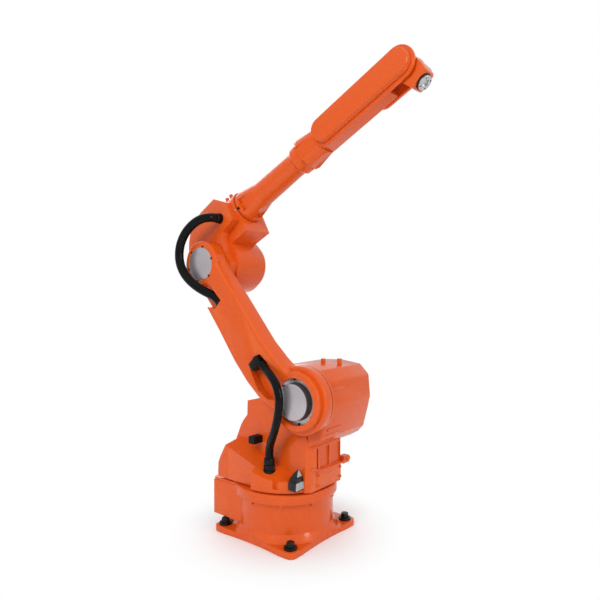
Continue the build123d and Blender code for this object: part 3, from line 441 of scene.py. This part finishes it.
def add_hose(name, points, diameter):
    """A smooth hose through listed points."""
    data = bpy.data.curves.new(name + "_route", "CURVE")
    data.dimensions = "3D"
    data.bevel_depth = diameter / 2
    data.bevel_resolution = HOSE_SIDES
    data.resolution_u = HOSE_STEPS
    data.use_fill_caps = True
    spline = data.splines.new("NURBS")
    spline.points.add(len(points) - 1)
    for control, spot in zip(spline.points, points):
        control.co = (*spot, 1)
    spline.order_u = 3
    spline.use_endpoint_u = True
    route = bpy.data.objects.new(name + "_route", data)
    bpy.context.scene.collection.objects.link(route)
    bpy.context.view_layer.update()
    mesh = bpy.data.meshes.new_from_object(route.evaluated_get(bpy.context.evaluated_depsgraph_get()))
    bpy.data.objects.remove(route)
    hose = bpy.data.objects.new(name + "_tube", mesh)
    bpy.context.scene.collection.objects.link(hose)
    set_material(hose, "hose")
    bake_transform(hose)
    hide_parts(name)


# Small pieces of the base and waist
ANCHOR_SPOTS = [(-0.165, -0.165), (0.165, -0.165), (0.165, 0.165), (-0.165, 0.165)]
ANCHOR_HEAD = bolt_head(0.0135, 0.013)
ANCHOR_WASHER_HEIGHT = 0.004
ANCHOR_WASHER = washer(0.017, ANCHOR_WASHER_HEIGHT)
GLAND_SEGMENTS = 36
LID_LAP = 0.001
LID_INSET = 0.003
LID_CORNER = 0.009
LID_HEIGHT = 0.0095
LID_EDGE = 0.0015
FRONT_SCREW = socket_screw(0.005, 0.004)
FRONT_SCREW_SPOTS = [(-0.042, 0.216), (0.094, 0.216), (-0.042, 0.253), (0.094, 0.253)]
FRONT_COVER_STEP = 0.004
LUG_SCREW_SPOT = (0.132, 0.273)

# Face of the pointed stop, white as a painted reflection of the light its glossy front mirrors: its margin at the
# foot and both margins, its half widths at foot and tip, and how the stop's front leans back
DOME_FACE_FOOT = 0.003
DOME_FACE_MARGINS = 0.007
DOME_FACE_HALF = 0.0205
DOME_FACE_TIP = 0.0015
DOME_FACE_ARCH = 2.4
DOME_FACE_PROUD = 0.0004
DOME_FACE_THICKNESS = 0.0012
DOME_FACE_STEPS = 12
DOME_FACE_ACROSS = (-1, -0.5, 0, 0.5, 1)
DOME_LEAN = 0.008
DOME_LEAN_CURVE = 3.2


def add_anchor_bolts():
    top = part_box("foot_washers")[1].z
    on_foot = plane((0, 0, top), FORWARD, UP)
    on_washer = plane((0, 0, top + ANCHOR_WASHER_HEIGHT), FORWARD, UP)
    repeated("anchor_spring_washers", "base", "black_steel", on_foot, ANCHOR_SPOTS, ANCHOR_WASHER)
    repeated("anchor_bolts", "base", "black_steel", on_washer, ANCHOR_SPOTS, ANCHOR_HEAD)


def gland_rows(radius, height, bore):
    """Rows of a cable gland: flange, hexagon body, round nut and a lip about the hose."""
    flange = 0.2 * height
    body = 0.55 * height
    body_radius = 0.82 * radius
    nut_radius = 0.88 * radius
    return [(radius, 0, False), (radius, flange, False),
            (body_radius, flange, True), (body_radius, body, True),
            (0.78 * radius, body, False), (nut_radius, 0.60 * height, False),
            (nut_radius, 0.88 * height, False), (0.80 * radius, height, False),
            (bore, height, False), (bore, 0.9 * height, False)]


def add_glands():
    low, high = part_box("lower_gland")
    foot = (LOWER_HOSE_POINTS[-1][0], LOWER_HOSE_POINTS[-1][1], low.z)
    lower = repeated("lower_gland_nut", "waist", "fitting", plane(foot, FORWARD, UP), CENTRE,
                     gland_rows((high.x - low.x) / 2, high.z - low.z, LOWER_HOSE_DIAMETER / 2),
                     GLAND_SEGMENTS)
    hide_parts("lower_gland")
    low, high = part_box("elbow_gland")
    seat = ((low.x + high.x) / 2, high.y, (low.z + high.z) / 2)
    upper = repeated("elbow_gland_nut", "elbow", "fitting", plane(seat, ROLL_WAY, NEAR), CENTRE,
                     gland_rows((high.x - low.x) / 2, high.y - low.y, UPPER_HOSE_DIAMETER / 2),
                     GLAND_SEGMENTS)
    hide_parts("elbow_gland")


def add_front_screws():
    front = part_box("front_cover")[1].x
    cover_face = plane((front - FRONT_COVER_STEP, 0, 0), FAR, FORWARD)
    repeated("front_cover_screws", "waist", "paint", cover_face, FRONT_SCREW_SPOTS, FRONT_SCREW)
    lug_face = plane((front, 0, 0), FAR, FORWARD)
    repeated("lug_screw", "waist", "paint", lug_face, [LUG_SCREW_SPOT], FRONT_SCREW)


def add_box_lid():
    """Lid of the connector box, just under the turning skirt."""
    low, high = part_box("connector_box")
    outline = rounded_box((low.x + LID_INSET, low.y + LID_INSET), (high.x, high.y - LID_INSET), LID_CORNER)
    work = bmesh.new()
    slab(work, plane((0, 0, high.z - LID_LAP), FORWARD, UP), outline, LID_HEIGHT, LID_EDGE)
    new_piece("box_lid", work, "base", "paint")


def add_dome_painted_reflection():
    """Pale plate on the front of the pointed stop, a painted reflection of the bright light that its glossy black
    front mirrors.
    """
    low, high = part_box("dome_stop")
    height = high.z - low.z
    middle = (low.y + high.y) / 2
    work = bmesh.new()
    rows = []
    for step in range(DOME_FACE_STEPS + 1):
        share = step / DOME_FACE_STEPS
        level = low.z + DOME_FACE_FOOT + (height - DOME_FACE_MARGINS) * share
        rise = (level - low.z) / height
        half = DOME_FACE_HALF * (1 - share ** DOME_FACE_ARCH) + DOME_FACE_TIP
        front = high.x + DOME_FACE_PROUD - DOME_LEAN * rise ** DOME_LEAN_CURVE
        rows.append([work.verts.new((front, middle + half * across, level)) for across in DOME_FACE_ACROSS])
    for lower, upper in zip(rows, rows[1:]):
        for step in range(len(lower) - 1):
            work.faces.new((lower[step], lower[step + 1], upper[step + 1], upper[step]))
    bmesh.ops.solidify(work, geom=work.faces[:], thickness=DOME_FACE_THICKNESS)
    face = new_piece("dome_painted_reflection", work, "waist", "grey_cap")
    # The plate is coloured white as a painted reflection
    set_material(face, "painted_reflection")


# Small pieces of the shoulder, lower arm, elbow and tool
FLANGE_SCREW = socket_screw(0.0042, 0.004)
FLANGE_SCREW_SPOTS = circle_spots(0.0785, 8, 7.7)
CAP_SCREW = socket_screw(0.0040, 0.003)
CAP_SCREW_SPOTS = circle_spots(0.0705, 6, 2.0)
COVER_SCREW = socket_screw(0.0060, 0.006)
COVER_SCREW_SPOTS = circle_spots(0.082, 8, 22.5)
SHOULDER_DOME_RADIUS = 0.0665
# Dark wall round the shoulder dome's drafted side: painted shade where that side is seen as a dark band
SHOULDER_SHADE_WALL = [(SHOULDER_DOME_RADIUS + 0.0006, 0, False), (SHOULDER_DOME_RADIUS - 0.0019, 0.0260, False)]
CAP_EDGE = 0.0020
CAP_EDGE_STEPS = 6
CAP_FACE_STEPS = 12
CAP_SEGMENTS = 96
TOOL_SEAL = [(0.0285, 0, False), (0.0285, 0.0040, False), (0.0270, 0.0050, False)]
TOOL_SEAL_BACK = 0.0145
TOOL_SEAL_SEGMENTS = 48


def dished_cap(name, node, centre, drop, crown, radius=None):
    """A cap with a drafted side, a rounded shoulder and a slightly crowned face, in place of a CAD disc."""
    low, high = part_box(node)
    radius = radius or (high.x - low.x) / 2
    depth = high.y - low.y
    face_radius = radius - drop
    side_top = depth - crown - CAP_EDGE
    rows = [(radius, 0, False), (radius - drop * side_top / depth, side_top, False)]
    for step in range(1, CAP_EDGE_STEPS + 1):
        turn = radians(90) * step / CAP_EDGE_STEPS
        rows.append((face_radius - CAP_EDGE * (1 - cos(turn)), side_top + CAP_EDGE * sin(turn), False))
    rim_radius = rows[-1][0]
    for step in range(1, CAP_FACE_STEPS):
        share = 1 - step / CAP_FACE_STEPS
        rows.append((rim_radius * share, depth - crown * share * share, False))
    cap = repeated(name, "lower_arm", "grey_cap", side_plane(centre, high.y), CENTRE, rows, CAP_SEGMENTS)
    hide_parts(node)


def add_caps():
    dished_cap("shoulder_dome", "shoulder_cap", SHOULDER, drop=0.0035, crown=0.0045,
               radius=SHOULDER_DOME_RADIUS)
    # A dark sheet round the dome's side, painted shade
    shade_wall_seat = side_plane(SHOULDER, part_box("shoulder_cap")[1].y)
    repeated("shoulder_dome_shade_wall", "lower_arm", "plate", shade_wall_seat, CENTRE, SHOULDER_SHADE_WALL, CAP_SEGMENTS)
    dished_cap("elbow_dome", "elbow_cap", ELBOW, drop=0.0005, crown=0.0050)


def add_arm_screws():
    flange_face = side_plane(SHOULDER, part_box("shoulder_flange")[0].y)
    repeated("flange_screws", "lower_arm", "black_steel", flange_face, FLANGE_SCREW_SPOTS, FLANGE_SCREW)
    arm_face = side_plane(ELBOW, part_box("lower_arm")[0].y)
    repeated("elbow_cap_screws", "lower_arm", "black_steel", arm_face, CAP_SCREW_SPOTS, CAP_SCREW)


def add_elbow_screws():
    cover_face = plane((ELBOW.x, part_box("elbow_motor_cover")[1].y, ELBOW.z), ROLL_WAY, FAR)
    repeated("elbow_cover_screws", "elbow", "black_steel", cover_face, COVER_SCREW_SPOTS, COVER_SCREW)


def add_tool_seal():
    """Black lip seal behind the tool flange."""
    back = plane(TOOL - TOOL_WAY * TOOL_SEAL_BACK, FAR, TOOL_WAY)
    repeated("tool_seal", "wrist", "black_steel", back, CENTRE, TOOL_SEAL, TOOL_SEAL_SEGMENTS)


# Forearm: stations along the roll axis from its joint, each with its radius
FOREARM_ROOT = 0.005
ROOT_FLANGE_END = 0.019
COLLAR_START = 0.300
COLLAR_BAND_END = 0.346
FOREARM_END = 0.445
FOREARM_PROFILE = [
    (FOREARM_ROOT, 0.0680), (ROOT_FLANGE_END, 0.0680), (0.105, 0.0500), (0.309, 0.0460), (0.319, 0.0565),
    (COLLAR_BAND_END, 0.0575), (0.363, 0.0660), (FOREARM_END, 0.0545)]
FOREARM_SHARP_ANGLE = 32.0
EDGE_ROUNDING = 0.0016
STATION_GAP = 0.004
STATION_COUNT = 110
STATIONS_AT_EDGE = (-0.0024, -0.0016, -0.0008, 0, 0.0008, 0.0016, 0.0024, 0.0032)

# Pockets: turn of the first one, half angle of each and of its wall, length of its end, and floors
POCKET_COUNT = 4
POCKET_TURN = 8.0
POCKET_EDGE = 24.0
POCKET_WALL = 1.4
POCKET_END = 0.003
ROOT_FLOOR = 0.0515
COLLAR_FLOOR = 0.0530
POCKET_ANGLES = (0, 4, 8, 12, 16, 19.5, 21.5, 22.6, 23.1, 23.6, 24, 24.4, 24.9, 25.4, 26.5, 28.5, 32, 36,
                 40.5)
POCKET_SCREW = socket_screw(0.0045, 0.006)
ROOT_SCREW_CIRCLE = 0.0595
ROOT_SCREW_TURN = 17
COLLAR_SCREW_CIRCLE = 0.0590
COLLAR_SCREW_TURN = 30
COLLAR_SCREW_SEAT = COLLAR_BAND_END + 0.001

# Zero marks: the elbow's pin and the forearm's knob, on a line beside the roll axis
ZERO_PIN = [(0.0022, 0, False), (0.0036, 0.002, False), (0.0036, 0.022, False), (0.0022, 0.0245, False)]
ZERO_KNOB = [(0.0038, 0, False), (0.0044, 0.001, False), (0.0044, 0.007, False), (0.0036, 0.008, False)]
ZERO_ACROSS = 0.017
ZERO_PIN_ALONG = -0.025
ZERO_PIN_OUT = 0.0722
ZERO_KNOB_ALONG = 0.0065
ZERO_KNOB_OUT = 0.0672


def smooth(share):
    share = min(1.0, max(0.0, share))
    return share * share * (3 - 2 * share)


def profile_radius(along):
    for (start, low), (end, high) in zip(FOREARM_PROFILE, FOREARM_PROFILE[1:]):
        if along <= end:
            return low + (high - low) * max(0.0, along - start) / (end - start)
    return FOREARM_PROFILE[-1][1]


def forearm_radius(along, from_pocket):
    """Radius of the casting at a distance along the axis and an angle from the nearest pocket's middle."""
    steps = [EDGE_ROUNDING * share for share in (-1, -0.5, 0, 0.5, 1)]
    outer = sum(profile_radius(along + step) for step in steps) / len(steps)
    at_collar = along > COLLAR_START
    floor = (COLLAR_FLOOR if at_collar else ROOT_FLOOR) / cos(radians(from_pocket))
    start = COLLAR_BAND_END if at_collar else ROOT_FLANGE_END
    begun = smooth((along - start) / POCKET_END)
    inside = smooth((POCKET_EDGE + POCKET_WALL - abs(from_pocket)) / (2 * POCKET_WALL))
    return outer - max(0.0, outer - floor) * begun * inside


def forearm_stations():
    """Distances along the axis, close together where the profile turns."""
    stations = {round(FOREARM_ROOT + STATION_GAP * step, 5) for step in range(STATION_COUNT)}
    for along, _ in FOREARM_PROFILE[1:-1]:
        stations.update(round(along + step, 5) for step in STATIONS_AT_EDGE)
    stations.add(FOREARM_END)
    return sorted(stations)


def pocket_angles():
    """Angles round the forearm, each with its angle from the nearest pocket, closest at the walls."""
    spacing = 360 / POCKET_COUNT
    section = sorted({-angle for angle in POCKET_ANGLES} | set(POCKET_ANGLES) | {spacing / 2})
    return [(spacing * turn + angle, angle) for turn in range(POCKET_COUNT) for angle in section]


def add_forearm():
    """The flared forearm with four cast pockets at its root and four at its collar."""
    work = bmesh.new()
    place = plane(ROLL, NEAR, ROLL_WAY)
    rings = []
    for along in forearm_stations():
        ring = []
        for angle, from_pocket in pocket_angles():
            radius = forearm_radius(along, from_pocket)
            turn = radians(angle + POCKET_TURN)
            ring.append(work.verts.new(place @ Vector((radius * cos(turn), radius * sin(turn), along))))
        rings.append(ring)
    join_rings(work, rings)
    forearm = new_piece("forearm_casting", work, "forearm", "paint", FOREARM_SHARP_ANGLE)
    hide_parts("forearm_tube")


def pocket_screws(name, along, circle, turn):
    """Two screws in each pocket, either side of its middle."""
    face = plane(ROLL + ROLL_WAY * along, NEAR, ROLL_WAY)
    spots = (circle_spots(circle, POCKET_COUNT, POCKET_TURN - turn)
             + circle_spots(circle, POCKET_COUNT, POCKET_TURN + turn))
    repeated(name, "forearm", "paint", face, spots, POCKET_SCREW)


def add_zero_marks():
    """The pin and knob that show the forearm's zero turn, one each side of the roll joint."""
    across = ROLL_WAY.cross(NEAR) * ZERO_ACROSS
    pin_seat = ROLL + ROLL_WAY * ZERO_PIN_ALONG + across + NEAR * ZERO_PIN_OUT
    repeated("zero_pin", "elbow", "steel", plane(pin_seat, NEAR, ROLL_WAY), CENTRE, ZERO_PIN)
    knob_seat = ROLL + ROLL_WAY * ZERO_KNOB_ALONG + across + NEAR * ZERO_KNOB_OUT
    repeated("zero_knob", "forearm", "black_steel", plane(knob_seat, NEAR, ROLL_WAY), CENTRE, ZERO_KNOB)


def add_floor():
    """Pale floor that keeps the object's shadow near the foot and is plain white further out."""
    size = FLOOR_HALF_SIZE
    mesh = bpy.data.meshes.new("floor")
    corners = [(-size, -size, 0), (size, -size, 0), (size, size, 0), (-size, size, 0)]
    mesh.from_pydata(corners, [], [(0, 1, 2, 3)])
    floor = bpy.data.objects.new("floor", mesh)
    bpy.context.scene.collection.objects.link(floor)
    nodes = Nodes(bpy.data.materials.new("floor"))
    diffuse = nodes.add("ShaderNodeBsdfDiffuse", {"Color": FLOOR_GREY})
    glow = nodes.add("ShaderNodeEmission", {"Strength": 1.0})
    coordinates = nodes.add("ShaderNodeTexCoord")
    length = nodes.add("ShaderNodeVectorMath", operation="LENGTH")
    nodes.link(coordinates.outputs["Object"], length.inputs[0])
    distance = length.outputs["Value"]
    path = nodes.add("ShaderNodeLightPath")
    near_fade = remap(nodes, distance, FLOOR_SEEN_FADE, FULL_RANGE, "SMOOTHSTEP")
    far_fade = remap(nodes, distance, FLOOR_MIRRORED_FADE, FULL_RANGE, "SMOOTHSTEP")
    seen = combine(nodes, "MULTIPLY", path.outputs["Is Camera Ray"], near_fade)
    mirrored = combine(nodes, "MULTIPLY", path.outputs["Is Glossy Ray"], far_fade)
    mix_shaders(nodes, combine(nodes, "ADD", seen, mirrored), diffuse, glow)
    mesh.materials.append(nodes.owner)


def add_world():
    """Plain studio light, brighter above than below, and white where the camera looks past the object."""
    world = bpy.data.worlds.new("studio")
    bpy.context.scene.world = world
    nodes = Nodes(world, "ShaderNodeOutputWorld")
    coordinates = nodes.add("ShaderNodeTexCoord")
    direction = nodes.add("ShaderNodeSeparateXYZ")
    nodes.link(coordinates.outputs["Generated"], direction.inputs[0])
    rise = remap(nodes, direction.outputs["Z"], SKY_HEIGHTS, SKY_STRENGTHS)
    soft = nodes.add("ShaderNodeBackground", {"Color": SKY_COLOR})
    nodes.link(rise, soft.inputs["Strength"])
    white = nodes.add("ShaderNodeBackground", {"Color": (1, 1, 1, 1), "Strength": 1.0})
    path = nodes.add("ShaderNodeLightPath")
    mirrored = combine(nodes, "MULTIPLY", path.outputs["Is Glossy Ray"], rise)
    mix_shaders(nodes, combine(nodes, "ADD", path.outputs["Is Camera Ray"], mirrored), soft, white)


def add_lamp(name, place, aim, size, power, mirrored=True):
    """A soft lamp; one that isn't mirrored leaves no white patch on paint seen at a grazing angle."""
    data = bpy.data.lights.new(name, "AREA")
    data.shape = "RECTANGLE"
    data.size = size[0]
    data.size_y = size[1]
    data.energy = power
    lamp = bpy.data.objects.new(name, data)
    lamp.location = place
    lamp.rotation_euler = (Vector(aim) - Vector(place)).to_track_quat("-Z", "Y").to_euler()
    lamp.visible_glossy = mirrored
    bpy.context.scene.collection.objects.link(lamp)


add_camera()
add_hose("lower_hose", LOWER_HOSE_POINTS, LOWER_HOSE_DIAMETER)
add_hose("upper_hose", UPPER_HOSE_POINTS, UPPER_HOSE_DIAMETER)
add_floor()
add_world()
add_lamp("key", place=(0.6, -3.2, 2.6), aim=(0, 0, 0.8), size=(1.2, 1.6), power=60, mirrored=False)
add_lamp("side", place=(3.2, 0.2, 1.8), aim=(0, 0, 0.8), size=(0.5, 1.8), power=28)
add_lamp("rear", place=(-2.6, 1.6, 2.4), aim=(0, 0, 0.9), size=(2.6, 2.6), power=26)
bpy.context.scene.view_settings.view_transform = "Standard"

dress_nodes()
for cast_node, edge_width in CAST_EDGES.items():
    soften(cast_node, edge_width)

add_anchor_bolts()
add_glands()
add_front_screws()
add_box_lid()
add_dome_painted_reflection()
add_tool_seal()
add_caps()
add_arm_screws()
add_elbow_screws()
add_forearm()
pocket_screws("root_screws", ROOT_FLANGE_END, ROOT_SCREW_CIRCLE, ROOT_SCREW_TURN)
pocket_screws("collar_screws", COLLAR_SCREW_SEAT, COLLAR_SCREW_CIRCLE, COLLAR_SCREW_TURN)
add_zero_marks()
